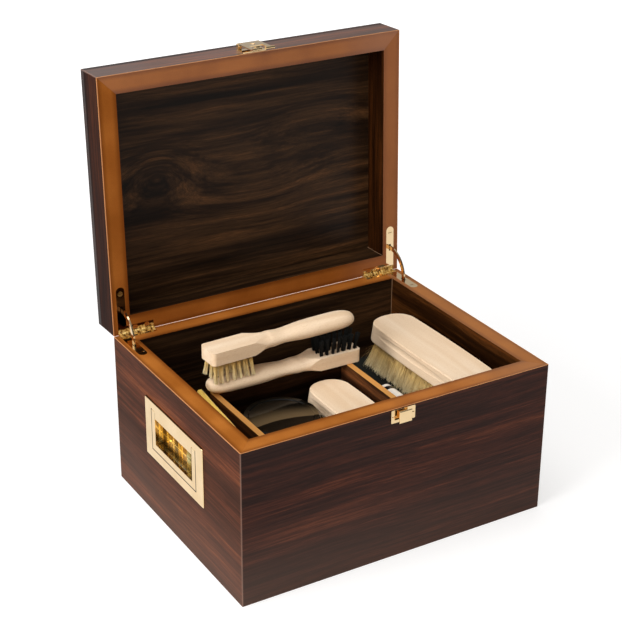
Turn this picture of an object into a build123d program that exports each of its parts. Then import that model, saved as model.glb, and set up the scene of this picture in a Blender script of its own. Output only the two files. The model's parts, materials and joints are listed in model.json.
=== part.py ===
"""Wooden shoe shine box with its kit: a mitred case, a lid on two stay hinges, and brass fittings.

Frame: origin at the centre of the underside, +X to the right, +Y to the back, +Z up, in mm.
The lid's pieces are drawn shut and are turned about the hinge line to the open rest position.
"""
import os
from math import cos, radians, sin

from build123d import *

os.makedirs("parts", exist_ok=True)

# Case
width = 340.0
depth = 266.0
body_height = 162.0
lid_height = 36.8
wall = 19.0
lid_top_thickness = 7.0
rim_gap = 0.14
lid_open = 92.0
edge_ease = 0.6
base_thickness = 6.0
base_rebate = 8.0

left, right = -width / 2, width / 2
front, back = -depth / 2, depth / 2
rim = body_height
lid_rim = rim + rim_gap
lid_top = lid_rim + lid_height
lid_ceiling = lid_top - lid_top_thickness
inner_left, inner_right = left + wall, right - wall
inner_front, inner_back = front + wall, back - wall

# Inside fittings
floor_top = 88.0
floor_thickness = 6.0
bearer_width = 10.0
bearer_height = 14.0
divider_top = 138.0
divider_thickness = 6.0
divider_left_x = -117.5
divider_right_x = 27.8
divider_cross_y = 17.3
dado_depth = 2.5

# Hinges: two L-shaped leaves let into the rims, with a curved stay that runs in pockets
hinge_setback = 0.07
hinge_y = back + hinge_setback
hinge_z = rim + rim_gap / 2
hinge_axis = Axis((0, hinge_y, hinge_z), (1, 0, 0))
leaf_thickness = 2.2
leaf_width = 9.2
leaf_inset = 10.0
leaf_side_arm = 51.0
leaf_back_arm = 44.4
leaf_back_width = 8.4
knuckle_radius = 2.5
knuckle_start = 6.8
knuckle_count = 5
knuckle_gap = 0.2
knuckle_clearance = 0.4
notch_side_gap = 0.4
pin_radius = 1.2
pin_play = 0.12
stay_radius = 27.0
stay_width = 4.5
stay_thickness = 1.6
stay_stop_thickness = 3.4
stay_stop_start = 5.8
stay_stop_end = 10.0
slot_width = 2.4
slot_length = 7.6
pocket_width = 4.4
pocket_depth = 25.5
pocket_near, pocket_far = 12.8, 31.0
side_screw_setback = 44.0
back_screw_insets = (24.0, 37.0)
back_screw_setback = 5.4

# Screws
screw_head = 2.8
screw_shank = 1.3
screw_length = 13.0
screw_slot_width = 0.7
screw_slot_depth = 0.6
plate_screw_head = 2.4
plate_screw_length = 9.0

# Latch on the front, centred: a plate and hinged flap on the lid, a catch on the body
latch_plate_width = 26.4
latch_plate_height = 13.4
latch_plate_thickness = 1.2
latch_plate_margin = 0.8
latch_screw_x = 10.2
latch_corner = 1.0
catch_cover_width = 13.8
catch_cover_low, catch_cover_high = -13.6, -1.4
catch_cover_thickness = 1.4
catch_cover_proud = 6.0
catch_cover_bevel = 0.4
catch_core_width = 7.0
catch_core_inset = 2.6
latch_pin_v = 15.4
latch_pin_proud = 5.2
latch_pin_radius = 0.9
latch_knuckle_radius = 2.1
flap_thickness = 1.3
flap_width = 24.2
flap_neck = 7.8
flap_shoulder = 13.0
flap_end = -16.6
flap_window_width = 14.8
flap_window_low, flap_window_high = -14.4, -0.6
flap_hole_v, flap_hole_radius = 6.2, 2.6
flap_corner = 1.2
flap_roll_radius = 1.5
flap_roll_notch = 4.6
latch_ear_width = 4.0
latch_ear_gap = 0.4

# Flush bail handles, one on each side
plate_length = 122.0
plate_height = 64.0
plate_thickness = 3.2
plate_proud = 1.5
plate_corner = 1.5
plate_bevel = 0.7
handle_z = 98.5
bail_span = 93.0
bail_low, bail_window_top = -20.8, 15.5
bail_pivot = 22.0
bail_bar = 7.2
bail_gap = 0.4
bail_thickness = 3.0
bail_pin_radius = 0.8
bail_pin_play = 0.1
bail_pin_hold = 4.0
cup_depth = 13.0
cup_wall = 1.0

# Room left under and between the things kept in the box
rest_gap = 0.2

# Applicator brushes: a flat head and a swelling oval handle
applicator_length = 166.0
head_width = 26.0
head_thickness = 13.5
head_corner = 4.0
applicator_y = 16.5
applicator_left_x = -125.0
tuft_length = 18.0
tuft_root_radius = 2.2
tuft_taper = 1.8
tuft_columns = 7
tuft_rows = 3
tuft_sides = 8
tuft_end_margin = 2.5
tuft_side_margin = 2.5
tufts_end = 46.0
shoulder_start, shoulder_end = 36.0, 66.0
lower_tilt = 0.82
upper_yaw = 2.0
upper_axis_z = 180.5
# Half width and half thickness of the oval at each distance from the head's end. The oval of
# the shoulder is larger than the head where it starts, and cuts the head's flats to a round end.
shoulder_sections = {
    shoulder_start: (23.6, 12.0),
    46.0: (18.6, 9.6),
    50.0: (16.6, 8.8),
    54.0: (14.7, 8.1),
    57.5: (13.3, 7.6),
    61.0: (12.5, 7.15),
    shoulder_end: (12.1, 6.75),
}
grip_sections = {
    shoulder_end: (12.1, 6.75),
    79.0: (11.2, 6.3),
    91.5: (11.3, 6.9),
    102.0: (12.2, 7.9),
    112.0: (12.9, 8.3),
    125.0: (13.2, 8.4),
    142.0: (13.3, 8.3),
    155.0: (12.1, 7.7),
    162.5: (8.8, 6.0),
    applicator_length: (3.4, 2.7),
}

# Polishing brushes
large_brush_x, large_brush_y = 107.4, -24.9
large_brush_width, large_brush_length = 50.0, 171.6
large_brush_top = 150.0
large_back_thickness = 20.0
large_corner = 20.0
large_flare = 8.5
small_brush_x, small_brush_y = -7.0, -54.6
small_brush_width, small_brush_length = 44.0, 110.6
small_brush_top = 130.0
small_back_thickness = 16.0
small_corner = 18.5
small_flare = 4.0
pile_end_flare = 1.0
pile_inset = 4.5
brush_edge = 0.8
# The backs bulge a little along their sides and ends, and widen from the top to the base
side_belly, end_crown = 1.6, 3.0
back_draft = 1.7
base_round = 2.4
groove_radius, groove_depth = 6.5, 1.3
groove_drop = 7.0

# Polish tins, bottle and cloths
tin_radius = 37.5
tin_height = 20.9
tin_x, tin_y = -76.0, -40.5
tin_base_height = 12.0
tin_sheet = 0.8
tin_lid_height = 11.0
tin_polish_top = 10.0
tin_bead = 1.6
bottle_radius = 10.0
bottle_length = 62.0
bottle_cap_length = 16.5
bottle_cap_bevel = 1.0
bottle_end_round = 3.0
bottle_x = 50.9
bottle_far_y = -25.0
dark_cloth_x, dark_cloth_y = (42.6, 149.5), (-111.0, 70.0)
dark_cloth_top = 102.4
yellow_cloth_x, yellow_cloth_y = (-149.5, -126.7), (-103.0, 32.0)
yellow_cloth_top = 141.0
cloth_round = 5.0


def block(x, y, z, mode=Mode.ADD):
    """Box between the low and high limits given for each axis."""
    middle = tuple((low + high) / 2 for low, high in (x, y, z))
    with Locations(middle):
        Box(x[1] - x[0], y[1] - y[0], z[1] - z[0], mode=mode)


def save(piece, name, on_lid=False):
    """Label a finished piece and write it; a piece of the lid is first turned open."""
    solid = piece.part
    if on_lid:
        solid = solid.rotate(hinge_axis, -lid_open)
    solid.label = name
    export_step(solid, f"parts/{name}.step")


# ---------------------------------------------------------------- case boards
# Each side's plane starts on its outer face, with local x along the side and local y inward.
sides = {
    "front": (width, Plane(origin=(0, front, 0), x_dir=(1, 0, 0), z_dir=(0, 0, 1))),
    "back": (width, Plane(origin=(0, back, 0), x_dir=(-1, 0, 0), z_dir=(0, 0, 1))),
    "left": (depth, Plane(origin=(left, 0, 0), x_dir=(0, -1, 0), z_dir=(0, 0, 1))),
    "right": (depth, Plane(origin=(right, 0, 0), x_dir=(0, 1, 0), z_dir=(0, 0, 1))),
}


def mitred_board(side, z_low, z_high, eased_ends):
    """Board of one side with 45 degree ends; the outer edge is eased at the ends listed."""
    length, plane = sides[side]
    half = length / 2
    with BuildSketch(plane.offset(z_low)) as outline:
        Polygon(
            (-half + edge_ease, 0),
            (half - edge_ease, 0),
            (half - edge_ease / 2, edge_ease / 2),
            (half - wall, wall),
            (wall - half, wall),
            (edge_ease / 2 - half, edge_ease / 2),
            align=None,
        )
    board = extrude(outline.sketch, amount=z_high - z_low)
    inward = Axis(plane.origin, plane.y_dir)
    for end in eased_ends:
        chamfer(board.edges().group_by(Axis.Z)[end].sort_by(inward)[0], length=edge_ease / 2)


def side_x(side, inset):
    """X of a line at the given distance in from the left (-1) or right (+1) face."""
    return side * (width / 2 - inset)


def leaf_plan(side, clearance=0.0):
    """Plan of one hinge leaf: a round-ended arm along the side and an arm along the back."""
    radius = leaf_width / 2 + clearance
    arm_x = side_x(side, leaf_inset)
    tip_y = back - leaf_side_arm + leaf_width / 2
    with Locations((arm_x, tip_y)):
        Circle(radius)
    with Locations((arm_x, (tip_y + hinge_y) / 2)):
        Rectangle(2 * radius, hinge_y - tip_y)
    corner_inset = leaf_inset - radius
    arm_middle = side_x(side, (corner_inset + leaf_back_arm + clearance) / 2)
    arm_low = back - leaf_back_width - clearance
    with Locations((arm_middle, (arm_low + hinge_y) / 2)):
        Rectangle(leaf_back_arm + clearance - corner_inset, hinge_y - arm_low)


def leaf_screw_points(side):
    """Plan positions of the screws of one leaf: one in the side arm, two in the back arm."""
    back_arm_y = back - back_screw_setback
    points = [(side_x(side, leaf_inset), back - side_screw_setback)]
    points += [(side_x(side, inset), back_arm_y) for inset in back_screw_insets]
    return points


def cut_hinge_seat(side, z_rim, into):
    """Cut one leaf's mortise, knuckle notch, stay pocket and screw holes into a board.

    into is -1 for a board of the body, under its rim, and +1 for one of the lid."""
    with BuildSketch(Plane.XY.offset(z_rim)) as mortise:
        leaf_plan(side)
    extrude(mortise.sketch, amount=into * leaf_thickness, mode=Mode.SUBTRACT)
    notch = knuckle_radius + knuckle_clearance
    notch_limits = (knuckle_start - notch_side_gap, leaf_back_arm + notch_side_gap)
    notch_x = sorted(side_x(side, inset) for inset in notch_limits)
    notch_z = sorted((z_rim - into, hinge_z + into * notch))
    block(notch_x, (hinge_y - notch, back + 1), notch_z, Mode.SUBTRACT)
    pocket_x = side_x(side, leaf_inset)
    pocket_z = sorted((z_rim - into, z_rim + into * pocket_depth))
    pocket_y = (back - pocket_far, back - pocket_near)
    block((pocket_x - pocket_width / 2, pocket_x + pocket_width / 2), pocket_y, pocket_z, Mode.SUBTRACT)
    for x, y in leaf_screw_points(side):
        with Locations((x, y, z_rim + into * screw_length / 2)):
            Cylinder(screw_shank, screw_length, mode=Mode.SUBTRACT)


def divider_span(x):
    return (x - divider_thickness / 2, x + divider_thickness / 2)


def cut_divider_dados():
    """Stopped grooves for the two side dividers in the front board."""
    reach = (inner_front - dado_depth, inner_front)
    for x in (divider_left_x, divider_right_x):
        block(divider_span(x), reach, (floor_top, divider_top), Mode.SUBTRACT)


base_x = (left + wall - base_rebate, right - wall + base_rebate)
base_y = (front + wall - base_rebate, back - wall + base_rebate)


def cut_base_rebate():
    block(base_x, base_y, (0, base_thickness), Mode.SUBTRACT)


def handle_plane(side):
    """Plane on a side face at the handle's middle: local x along the side, y up, z outward."""
    return Plane(origin=(side * width / 2, 0, handle_z), x_dir=(0, side, 0), z_dir=(side, 0, 0))


bail_half = bail_span / 2
frame_inset = plate_thickness - plate_proud
window_half = bail_span / 2 - bail_bar
window_low = bail_low + bail_bar
window_middle = (window_low + bail_window_top) / 2
window_height = bail_window_top - window_low
bail_end = bail_pivot + bail_thickness / 2
slot_low, slot_high = bail_low - bail_gap, bail_end + bail_gap
flange_middle = (slot_low + slot_high) / 2
flange_height = slot_high - slot_low + 2 * cup_wall
flange_length = bail_span + 2 * bail_gap + 2 * cup_wall


def cut_handle_seat(side):
    """Let the handle's plate, the cup's flange and the cup into a side board."""
    plane = handle_plane(side)
    with BuildSketch(plane) as plate_bed:
        RectangleRounded(plate_length, plate_height, plate_corner)
    extrude(plate_bed.sketch, amount=-frame_inset, mode=Mode.SUBTRACT)
    with BuildSketch(plane.offset(-frame_inset)) as flange_bed:
        with Locations((0, flange_middle)):
            Rectangle(flange_length, flange_height)
    extrude(flange_bed.sketch, amount=-cup_wall, mode=Mode.SUBTRACT)
    with BuildSketch(plane.offset(-frame_inset - cup_wall)) as cup_bed:
        with Locations((0, window_middle)):
            Rectangle(2 * window_half + 2 * cup_wall, window_height + 2 * cup_wall)
    extrude(cup_bed.sketch, amount=-cup_depth, mode=Mode.SUBTRACT)


def front_point(x, v, proud=0.0):
    """Point on the front face: x across, v above the body's rim, proud of the face."""
    return (x, front - proud, rim + v)


front_plane = Plane(origin=(0, front, rim), x_dir=(1, 0, 0), z_dir=(0, -1, 0))
catch_middle = -latch_plate_margin - latch_plate_height / 2
latch_middle = rim_gap + latch_plate_margin + latch_plate_height / 2


def cut_latch_screws(v):
    """Pilot holes of a latch or catch plate in the front boards."""
    for x in (-latch_screw_x, latch_screw_x):
        with Locations(Location(front_point(x, v, -plate_screw_length / 2), (90, 0, 0))):
            Cylinder(screw_shank, plate_screw_length, mode=Mode.SUBTRACT)


with BuildPart() as front_panel:
    mitred_board("front", 0, rim, (0, -1))
    cut_base_rebate()
    cut_divider_dados()
    cut_latch_screws(catch_middle)
save(front_panel, "front_panel")

with BuildPart() as back_panel:
    mitred_board("back", 0, rim, (0,))
    cut_base_rebate()
    for side in (-1, 1):
        cut_hinge_seat(side, rim, -1)
save(back_panel, "back_panel")

for name, side in (("left", -1), ("right", 1)):
    with BuildPart() as side_panel:
        mitred_board(name, 0, rim, (0, -1))
        cut_base_rebate()
        cut_hinge_seat(side, rim, -1)
        cut_handle_seat(side)
    save(side_panel, f"{name}_panel")

with BuildPart() as base_panel:
    block(base_x, base_y, (0, base_thickness))
save(base_panel, "base_panel")

with BuildPart() as inner_floor:
    block((inner_left, inner_right), (inner_front, inner_back), (floor_top - floor_thickness, floor_top))
save(inner_floor, "inner_floor")

bearer_z = (floor_top - floor_thickness - bearer_height, floor_top - floor_thickness)
with BuildPart() as floor_bearers:
    for y in (inner_front, inner_back - bearer_width):
        block((inner_left, inner_right), (y, y + bearer_width), bearer_z)
    for x in (inner_left, inner_right - bearer_width):
        block((x, x + bearer_width), (inner_front + bearer_width, inner_back - bearer_width), bearer_z)
save(floor_bearers, "floor_bearers")

# The dividers form a U that opens to the front; the cross divider is held between the other two.
cross_y = divider_span(divider_cross_y)
for name, x in (("left", divider_left_x), ("right", divider_right_x)):
    with BuildPart() as divider:
        block(divider_span(x), (inner_front - dado_depth, cross_y[1]), (floor_top, divider_top))
    save(divider, f"divider_{name}")

cross_x = (divider_span(divider_left_x)[1], divider_span(divider_right_x)[0])
with BuildPart() as divider_cross:
    block(cross_x, cross_y, (floor_top, divider_top))
save(divider_cross, "divider_cross")

# ---------------------------------------------------------------- lid boards
with BuildPart() as lid_front_rail:
    mitred_board("front", lid_rim, lid_ceiling, (0,))
    cut_latch_screws(latch_middle)
save(lid_front_rail, "lid_front_rail", on_lid=True)

with BuildPart() as lid_back_rail:
    mitred_board("back", lid_rim, lid_ceiling, ())
    for side in (-1, 1):
        cut_hinge_seat(side, lid_rim, 1)
save(lid_back_rail, "lid_back_rail", on_lid=True)

for name, side in (("left", -1), ("right", 1)):
    with BuildPart() as lid_side_rail:
        mitred_board(name, lid_rim, lid_ceiling, (0,))
        cut_hinge_seat(side, lid_rim, 1)
    save(lid_side_rail, f"lid_{name}_rail", on_lid=True)

with BuildPart() as lid_top_panel:
    block((left, right), (front, back), (lid_ceiling, lid_top))
    chamfer(lid_top_panel.edges().filter_by(Axis.Z), length=edge_ease)
    chamfer(lid_top_panel.edges().group_by(Axis.Z)[-1], length=edge_ease / 2)
save(lid_top_panel, "lid_top_panel", on_lid=True)

# ---------------------------------------------------------------- hinges
knuckle_pitch = (leaf_back_arm - knuckle_start) / knuckle_count


def knuckles(side, numbers, radius, gap):
    """Cylinders on the hinge line for the numbered knuckles, each shortened by the gap."""
    for number in numbers:
        inset = knuckle_start + (number + 0.5) * knuckle_pitch
        with Locations(Location((side_x(side, inset), hinge_y, hinge_z), (0, 90, 0))):
            yield radius, knuckle_pitch - gap


def hinge_leaf(side, z_rim, into, own, other):
    """One leaf with its own knuckles; the other leaf's knuckles turn in the notches between."""
    with BuildSketch(Plane.XY.offset(z_rim)) as plan:
        leaf_plan(side)
    extrude(plan.sketch, amount=into * leaf_thickness)
    for radius, length in knuckles(side, other, knuckle_radius + knuckle_clearance, 0):
        Cylinder(radius, length, mode=Mode.SUBTRACT)
    for radius, length in knuckles(side, own, knuckle_radius, knuckle_gap):
        Cylinder(radius, length)
    for radius, length in knuckles(side, range(knuckle_count), pin_radius + pin_play, 0):
        Cylinder(radius, length, mode=Mode.SUBTRACT)
    with Locations((side_x(side, leaf_inset), hinge_y - stay_radius, z_rim + into * leaf_thickness / 2)):
        Box(slot_width, slot_length, 2 * leaf_thickness, mode=Mode.SUBTRACT)
    for x, y in leaf_screw_points(side):
        with Locations(Location((x, y, z_rim), (0 if into < 0 else 180, 0, 0))):
            CounterSinkHole(screw_shank, screw_head, depth=2 * leaf_thickness, counter_sink_angle=90)


def screw(head, length):
    """Countersunk slotted screw along Z, the top of its head at z = 0."""
    with BuildSketch(Plane.XZ) as profile:
        with BuildLine():
            Polyline(
                (0, 0),
                (head, 0),
                (screw_shank, screw_shank - head),
                (screw_shank, screw_shank - length),
                (0, -length),
                close=True,
            )
        make_face()
    revolve(profile.sketch, axis=Axis.Z)
    with Locations((0, 0, -screw_slot_depth / 2)):
        Box(2 * head, screw_slot_width, screw_slot_depth, mode=Mode.SUBTRACT)


with BuildPart() as wood_screw:
    screw(screw_head, screw_length)

with BuildPart() as plate_screw:
    screw(plate_screw_head, plate_screw_length)

for name, side in (("left", -1), ("right", 1)):
    with BuildPart() as body_leaf:
        hinge_leaf(side, rim, -1, (0, 2, 4), (1, 3))
    save(body_leaf, f"hinge_leaf_body_{name}")
    with BuildPart() as lid_leaf:
        hinge_leaf(side, lid_rim, 1, (1, 3), (0, 2, 4))
    save(lid_leaf, f"hinge_leaf_lid_{name}", on_lid=True)

with BuildPart() as hinge_screws_body:
    for side in (-1, 1):
        for x, y in leaf_screw_points(side):
            with Locations((x, y, rim)):
                add(wood_screw.part)
save(hinge_screws_body, "hinge_screws_body")

with BuildPart() as hinge_screws_lid:
    for side in (-1, 1):
        for x, y in leaf_screw_points(side):
            with Locations(Location((x, y, lid_rim), (180, 0, 0))):
                add(wood_screw.part)
save(hinge_screws_lid, "hinge_screws_lid", on_lid=True)

with BuildPart() as hinge_pins:
    for side in (-1, 1):
        pin_middle = side_x(side, (knuckle_start + leaf_back_arm) / 2)
        with Locations(Location((pin_middle, hinge_y, hinge_z), (0, 90, 0))):
            Cylinder(pin_radius, leaf_back_arm - knuckle_start)
save(hinge_pins, "hinge_pins", on_lid=True)


def sector(radius_low, radius_high, angle_low, angle_high):
    """Band of a ring about the hinge line; angles run from straight back (0) up and over."""
    with BuildLine() as outline:
        inner = CenterArc((0, 0), radius_low, angle_low, angle_high - angle_low)
        outer = CenterArc((0, 0), radius_high, angle_low, angle_high - angle_low)
        Line(inner @ 0, outer @ 0)
        Line(inner @ 1, outer @ 1)
    make_face(outline.line.edges())


# The stay spans the open lid's rim and the body's rim, with a stop beyond each.
stay_low = 180 - lid_open - stay_stop_end
stay_high = 180 + stay_stop_end
stop_angle = stay_stop_end - stay_stop_start
inner_radius, outer_radius = stay_radius - stay_width / 2, stay_radius + stay_width / 2

for name, side in (("left", -1), ("right", 1)):
    stay_plane = Plane(origin=(side_x(side, leaf_inset), hinge_y, hinge_z), x_dir=(0, 1, 0), z_dir=(1, 0, 0))
    with BuildPart() as stay:
        with BuildSketch(stay_plane):
            sector(inner_radius, outer_radius, stay_low, stay_high)
        extrude(amount=stay_thickness / 2, both=True)
        for stop_start in (stay_low, stay_high - stop_angle):
            with BuildSketch(stay_plane):
                sector(inner_radius, outer_radius, stop_start, stop_start + stop_angle)
            extrude(amount=stay_stop_thickness / 2, both=True)
    save(stay, f"stay_{name}")

# ---------------------------------------------------------------- latch


def latch_base(v, height):
    """Fixing plate on the front face with two countersunk holes."""
    with BuildSketch(front_plane) as plate:
        with Locations((0, v)):
            RectangleRounded(latch_plate_width, height, latch_corner)
    extrude(plate.sketch, amount=latch_plate_thickness)
    for x in (-latch_screw_x, latch_screw_x):
        with Locations(Location(front_point(x, v, latch_plate_thickness), (90, 0, 0))):
            CounterSinkHole(screw_shank, plate_screw_head, depth=3, counter_sink_angle=90)


def plate_screws(v):
    for x in (-latch_screw_x, latch_screw_x):
        with Locations(Location(front_point(x, v, latch_plate_thickness), (90, 0, 0))):
            add(plate_screw.part)


with BuildPart() as catch_plate:
    latch_base(catch_middle, latch_plate_height)
    core_half, cover_half = catch_core_width / 2, catch_cover_width / 2
    cover_low, cover_high = rim + catch_cover_low, rim + catch_cover_high
    cover_front = front - catch_cover_proud
    block(
        (-core_half, core_half),
        (cover_front, front - latch_plate_thickness),
        (cover_low + catch_core_inset, cover_high - catch_core_inset),
    )
    cover_y = (cover_front, cover_front + catch_cover_thickness)
    block((-cover_half, cover_half), cover_y, (cover_low, cover_high))
    chamfer(catch_plate.edges().group_by(Axis.Y)[0], length=catch_cover_bevel)
save(catch_plate, "catch_plate")

with BuildPart() as catch_screws:
    plate_screws(catch_middle)
save(catch_screws, "catch_screws")

with BuildPart() as latch_plate:
    latch_base(latch_middle, latch_plate_height)
    for end in (-1, 1):
        ear_middle = end * (flap_neck + latch_ear_gap + latch_ear_width / 2)
        with Locations(Location(front_point(ear_middle, latch_pin_v, latch_pin_proud), (0, 90, 0))):
            Cylinder(latch_knuckle_radius, latch_ear_width)
        ear_x = (ear_middle - latch_ear_width / 2, ear_middle + latch_ear_width / 2)
        ear_z = (rim + latch_pin_v - latch_knuckle_radius, rim + latch_pin_v + latch_knuckle_radius)
        block(ear_x, (front - latch_pin_proud, front), ear_z)
    with Locations(Location(front_point(0, latch_pin_v, latch_pin_proud), (0, 90, 0))):
        Cylinder(latch_pin_radius, latch_plate_width, mode=Mode.SUBTRACT)
save(latch_plate, "latch_plate", on_lid=True)

with BuildPart() as latch_screws:
    plate_screws(latch_middle)
save(latch_screws, "latch_screws", on_lid=True)

with BuildPart() as latch_pin:
    with Locations(Location(front_point(0, latch_pin_v, latch_pin_proud), (0, 90, 0))):
        Cylinder(latch_pin_radius, 2 * (flap_neck + latch_ear_gap + latch_ear_width))
save(latch_pin, "latch_pin", on_lid=True)

flap_outer = latch_pin_proud + latch_knuckle_radius
flap_inner = flap_outer - flap_thickness
with BuildPart() as latch_flap:
    with BuildSketch(front_plane.offset(flap_inner)):
        with Locations((0, (flap_end + flap_shoulder) / 2)):
            RectangleRounded(flap_width, flap_shoulder - flap_end, flap_corner)
        with Locations((0, (flap_shoulder + latch_pin_v) / 2 - 1)):
            Rectangle(2 * flap_neck, latch_pin_v - flap_shoulder + 2)
        with Locations((0, (flap_window_low + flap_window_high) / 2)):
            Rectangle(flap_window_width, flap_window_high - flap_window_low, mode=Mode.SUBTRACT)
        with Locations((0, flap_hole_v)):
            Circle(flap_hole_radius, mode=Mode.SUBTRACT)
    extrude(amount=flap_thickness)
    with Locations(Location(front_point(0, latch_pin_v, latch_pin_proud), (0, 90, 0))):
        Cylinder(latch_knuckle_radius, 2 * flap_neck)
        Cylinder(latch_pin_radius + bail_pin_play, 2 * flap_neck, mode=Mode.SUBTRACT)
    roll_place = Location(front_point(0, flap_end, flap_inner + flap_roll_radius), (0, 90, 0))
    with Locations(roll_place):
        Cylinder(flap_roll_radius, flap_width)
        Box(4 * flap_roll_radius, 4 * flap_roll_radius, flap_roll_notch, mode=Mode.SUBTRACT)
save(latch_flap, "latch_flap", on_lid=True)

# ---------------------------------------------------------------- handles
for name, side in (("left", -1), ("right", 1)):
    plane = handle_plane(side)

    with BuildPart() as handle_frame:
        with BuildSketch(plane.offset(-frame_inset)):
            RectangleRounded(plate_length, plate_height, plate_corner)
            with Locations((0, flange_middle)):
                Rectangle(bail_span + 2 * bail_gap, slot_high - slot_low, mode=Mode.SUBTRACT)
            with Locations((0, (bail_window_top + slot_high + 1) / 2)):
                Rectangle(2 * (window_half - bail_gap), slot_high + 1 - bail_window_top)
        extrude(amount=plate_thickness)
        outer_face = handle_frame.faces().sort_by(Axis(plane.origin, plane.z_dir))[-1]
        chamfer(outer_face.outer_wire().edges(), length=plate_bevel)
        for end in (-1, 1):
            hole_middle = end * (bail_half + bail_gap + bail_pin_hold / 2)
            with Locations(plane * Location((hole_middle, bail_pivot, 0), (0, 90, 0))):
                Cylinder(bail_pin_radius, bail_pin_hold, mode=Mode.SUBTRACT)
    save(handle_frame, f"handle_frame_{name}")

    with BuildPart() as handle_cup:
        with BuildSketch(plane.offset(-frame_inset)):
            with Locations((0, flange_middle)):
                Rectangle(flange_length, flange_height)
        extrude(amount=-cup_wall)
        with BuildSketch(plane.offset(-frame_inset - cup_wall)):
            with Locations((0, window_middle)):
                Rectangle(2 * window_half + 2 * cup_wall, window_height + 2 * cup_wall)
        extrude(amount=-cup_depth)
        with BuildSketch(plane.offset(-frame_inset)):
            with Locations((0, window_middle)):
                Rectangle(2 * window_half, window_height)
        extrude(amount=-cup_depth, mode=Mode.SUBTRACT)
    save(handle_cup, f"handle_cup_{name}")

    with BuildPart() as bail:
        with BuildSketch(plane.offset(plate_proud - bail_thickness)):
            with Locations((0, (bail_low + bail_pivot) / 2)):
                Rectangle(bail_span, bail_pivot - bail_low)
            with Locations((0, (window_low + bail_pivot) / 2)):
                Rectangle(2 * window_half, bail_pivot - window_low, mode=Mode.SUBTRACT)
        extrude(amount=bail_thickness)
        for end in (-1, 1):
            arm_middle = end * (bail_half - bail_bar / 2)
            with Locations(plane * Location((arm_middle, bail_pivot, 0), (0, 90, 0))):
                Cylinder(bail_thickness / 2, bail_bar)
                Cylinder(bail_pin_radius + bail_pin_play, bail_bar, mode=Mode.SUBTRACT)
    save(bail, f"bail_{name}")

with BuildPart() as bail_pins:
    pin_length = bail_bar + bail_gap + bail_pin_hold
    for side in (-1, 1):
        for end in (-1, 1):
            pin_middle = end * (bail_half - bail_bar + pin_length / 2)
            with Locations(handle_plane(side) * Location((pin_middle, bail_pivot, 0), (0, 90, 0))):
                Cylinder(bail_pin_radius, pin_length)
save(bail_pins, "bail_pins")

# ---------------------------------------------------------------- applicator brushes


def section_plane(frame, distance):
    """Plane across a brush at a distance from its head's end; local x across, local y to the pile."""
    return Plane(
        origin=frame.from_local_coords((distance, 0, 0)),
        x_dir=-frame.y_dir,
        z_dir=frame.x_dir,
    )


def ovals(frame, sections):
    """Ellipses across a brush, one for each distance in the table."""
    ellipses = []
    for distance, (half_width, half_thickness) in sections.items():
        with BuildSketch(section_plane(frame, distance)) as section:
            Ellipse(half_width, half_thickness)
        ellipses.append(section.sketch)
    return ellipses


def applicator_handle(frame):
    """Flat head, rounded shoulder and oval grip; frame's x runs to the tail, its z to the pile."""
    underside = frame.offset(-head_thickness / 2)
    loft(ovals(frame, shoulder_sections))
    with BuildSketch(underside) as shoulder_bar:
        with Locations(((shoulder_start + shoulder_end) / 2, 0)):
            Rectangle(shoulder_end - shoulder_start, head_width)
    extrude(shoulder_bar.sketch, amount=head_thickness, mode=Mode.INTERSECT)
    with BuildSketch(underside) as head_bar:
        with Locations((shoulder_start / 2, 0)):
            Rectangle(shoulder_start, head_width)
        fillet(head_bar.vertices().group_by(Axis.X)[0], radius=head_corner)
    extrude(head_bar.sketch, amount=head_thickness)
    loft(ovals(frame, grip_sections))


def applicator_tufts(frame):
    """Rows of tufts that spread towards their tips, standing on the head."""
    column_pitch = (tufts_end - tuft_end_margin) / tuft_columns
    row_pitch = (head_width - 2 * tuft_side_margin) / tuft_rows
    with BuildSketch(frame.offset(head_thickness / 2)) as roots:
        with Locations(((tufts_end + tuft_end_margin) / 2, 0)):
            with GridLocations(column_pitch, row_pitch, tuft_columns, tuft_rows):
                RegularPolygon(tuft_root_radius, tuft_sides)
    extrude(roots.sketch, amount=tuft_length, taper=-tuft_taper)


tilt = radians(lower_tilt)
lower_frame = Plane(
    origin=(applicator_left_x + applicator_length, applicator_y, divider_top + rest_gap + head_thickness / 2),
    x_dir=(-cos(tilt), 0, sin(tilt)),
    z_dir=(sin(tilt), 0, cos(tilt)),
)
yaw = radians(upper_yaw)
upper_frame = Plane(
    origin=(applicator_left_x, applicator_y, upper_axis_z),
    x_dir=(cos(yaw), sin(yaw), 0),
    z_dir=(0, 0, -1),
)
for name, frame in (("lower", lower_frame), ("upper", upper_frame)):
    with BuildPart() as handle:
        applicator_handle(frame)
    save(handle, f"{name}_applicator_handle")
    with BuildPart() as tufts:
        applicator_tufts(frame)
    save(tufts, f"{name}_applicator_bristles")

# ---------------------------------------------------------------- polishing brushes


def brush_outline(x, y, z, across, along, corner):
    """Plan of a brush back at one height: bulging sides and ends with rounded corners."""
    side_x, end_y = across / 2, along / 2
    corner_x, corner_y = side_x - side_belly, end_y - end_crown
    with BuildSketch(Plane((x, y, z))) as outline:
        with BuildLine():
            ThreePointArc((-corner_x, -corner_y), (-side_x, 0), (-corner_x, corner_y))
            ThreePointArc((-corner_x, corner_y), (0, end_y), (corner_x, corner_y))
            ThreePointArc((corner_x, corner_y), (side_x, 0), (corner_x, -corner_y))
            ThreePointArc((corner_x, -corner_y), (0, -end_y), (-corner_x, -corner_y))
        make_face()
        fillet(outline.vertices(), radius=corner)
    return outline.sketch


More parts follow.
